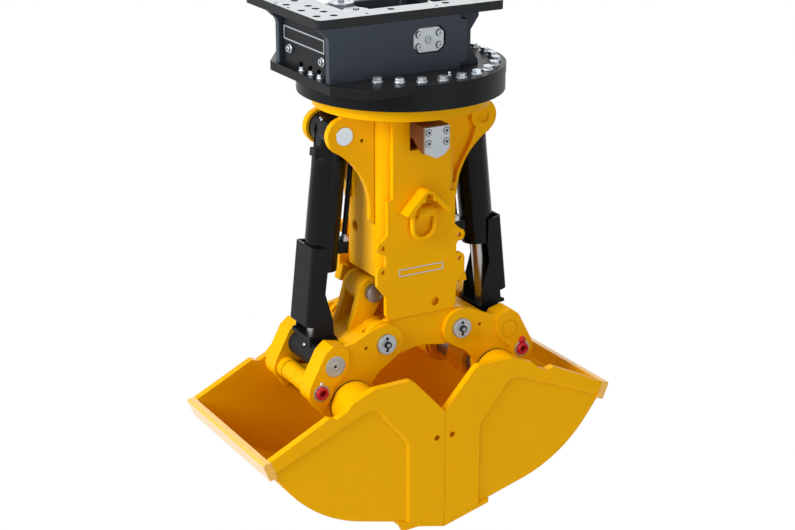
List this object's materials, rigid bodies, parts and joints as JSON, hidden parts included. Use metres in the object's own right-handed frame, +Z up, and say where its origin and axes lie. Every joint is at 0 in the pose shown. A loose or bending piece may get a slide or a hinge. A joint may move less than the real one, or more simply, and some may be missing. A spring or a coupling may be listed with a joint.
{
  "type": "clamshell bucket",
  "caption": "Hydraulic clamshell bucket hanging under a bolted adapter box, with slewing ring, column, cylinders on both sides and linked shells.",
  "frame": {"origin": "centre of the rectangle of bolt holes in the top plate, on its upper face", "axes": "+Z up, away from the shells; +X to the right along the opening direction of the shells; -Y is the front with the valve"},
  "size_m": [0.9, 0.46, 1.2093],
  "materials": {
    "top_steel": "milled",
    "black_paint": "satin",
    "zinc": "zinc plated",
    "bright_steel": "ground",
    "yellow_paint": "gloss",
    "chrome_rod": "polished",
    "red_paint": "gloss",
    "bronze_cover": "satin"
  },
  "bodies": {
    "adapter": {"top_plate": "top_steel", "side_plates": "black_paint", "end_plates": "black_paint", "base_plate": "black_paint", "fixed_race": "black_paint", "ring_bolts": "zinc", "slew_motors": "black_paint", "motor_caps": "zinc", "union_housing": "black_paint", "port_block": "zinc"},
    "column": {"gear_race": "bright_steel", "union_spindle": "bright_steel", "flange": "yellow_paint", "column_tube": "yellow_paint", "front_panel": "yellow_paint", "rear_panel": "yellow_paint", "ear_plates": "yellow_paint", "yoke_plates": "yellow_paint", "lift_roofs": "yellow_paint", "valve_block": "bronze_cover", "valve_cover": "zinc", "head_pins": "zinc"},
    "front_pinion": {"pinion_front": "bright_steel"},
    "rear_pinion": {"pinion_rear": "bright_steel"},
    "front_ring": {"lift_ring_front": "yellow_paint"},
    "rear_ring": {"lift_ring_rear": "yellow_paint"},
    "left_barrel": {"barrel_left": "black_paint", "gland_left": "black_paint", "feed_pipe_left": "black_paint"},
    "right_barrel": {"barrel_right": "black_paint", "gland_right": "black_paint", "feed_pipe_right": "black_paint"},
    "left_rod": {"rod_left": "chrome_rod", "rod_guard_left": "black_paint", "rod_pin_left": "bright_steel"},
    "right_rod": {"rod_right": "chrome_rod", "rod_guard_right": "black_paint", "rod_pin_right": "bright_steel"},
    "left_shell": {"arm_left": "yellow_paint", "arm_beam_left": "yellow_paint", "pin_covers_left": "zinc", "lock_bolts_left": "red_paint", "sync_pin": "bright_steel", "shell_left": "yellow_paint", "dished_left": "yellow_paint", "shaft_left": "bright_steel", "lip_left": "yellow_paint", "cutting_edge_left": "yellow_paint", "floor_left": "yellow_paint"},
    "right_shell": {"arm_right": "yellow_paint", "arm_beam_right": "yellow_paint", "pin_covers_right": "zinc", "lock_bolts_right": "red_paint", "shell_right": "yellow_paint", "dished_right": "yellow_paint", "shaft_right": "bright_steel", "lip_right": "yellow_paint", "cutting_edge_right": "yellow_paint", "floor_right": "yellow_paint"},
    "sync": {"sync_link": "yellow_paint"}
  },
  "joints": [
    {"name": "slew", "type": "hinge", "parent": "adapter", "child": "column", "pos_m": [0.036, -0.054, -0.2], "axis": [0, 0, 1], "continuous": true},
    {"name": "front_pinion_spin", "type": "hinge", "parent": "adapter", "child": "front_pinion", "pos_m": [-0.08879, -0.08248, -0.175], "axis": [0, 0, 1], "continuous": true},
    {"name": "rear_pinion_spin", "type": "hinge", "parent": "adapter", "child": "rear_pinion", "pos_m": [-0.07485, 0.01, -0.175], "axis": [0, 0, 1], "continuous": true},
    {"name": "left_shell_swing", "type": "hinge", "parent": "column", "child": "left_shell", "pos_m": [-0.062, -0.054, -0.743], "axis": [0, 1, 0], "range_deg": [0, 50]},
    {"name": "right_shell_swing", "type": "hinge", "parent": "column", "child": "right_shell", "pos_m": [0.134, -0.054, -0.743], "axis": [0, 1, 0], "range_deg": [-50, 0]},
    {"name": "left_barrel_swing", "type": "hinge", "parent": "column", "child": "left_barrel", "pos_m": [-0.1365, -0.054, -0.269], "axis": [0, 1, 0], "range_deg": [-1.5, 0.5]},
    {"name": "right_barrel_swing", "type": "hinge", "parent": "column", "child": "right_barrel", "pos_m": [0.2085, -0.054, -0.269], "axis": [0, 1, 0], "range_deg": [-0.5, 1.5]},
    {"name": "left_rod_slide", "type": "slide", "parent": "left_barrel", "child": "left_rod", "axis": [-0.1081, 0, -0.9941], "range_m": [-0.1125, 0]},
    {"name": "right_rod_slide", "type": "slide", "parent": "right_barrel", "child": "right_rod", "axis": [0.1081, 0, -0.9941], "range_m": [-0.1125, 0]},
    {"name": "sync_swing", "type": "hinge", "parent": "left_shell", "child": "sync", "pos_m": [-0.059, -0.054, -0.643], "axis": [0, 1, 0], "range_deg": [-25.5, 0]},
    {"name": "front_ring_swing", "type": "hinge", "parent": "column", "child": "front_ring", "pos_m": [0.036, -0.157, -0.452], "axis": [1, 0, 0], "range_deg": [-75, 0]},
    {"name": "rear_ring_swing", "type": "hinge", "parent": "column", "child": "rear_ring", "pos_m": [0.036, 0.049, -0.452], "axis": [1, 0, 0], "range_deg": [0, 75]}
  ],
  "couplings": [
    {"joint": "front_pinion_spin", "follows": "slew", "ratio": 4.2},
    {"joint": "rear_pinion_spin", "follows": "slew", "ratio": 4.2},
    {"joint": "right_shell_swing", "follows": "left_shell_swing", "ratio": -1},
    {"joint": "left_barrel_swing", "follows": "left_shell_swing", "ratio": -0.014},
    {"joint": "right_barrel_swing", "follows": "left_shell_swing", "ratio": 0.014},
    {"joint": "left_rod_slide", "follows": "left_shell_swing", "m_per_rad": -0.1268},
    {"joint": "right_rod_slide", "follows": "left_shell_swing", "m_per_rad": -0.1268},
    {"joint": "sync_swing", "follows": "left_shell_swing", "ratio": -0.5}
  ]
}
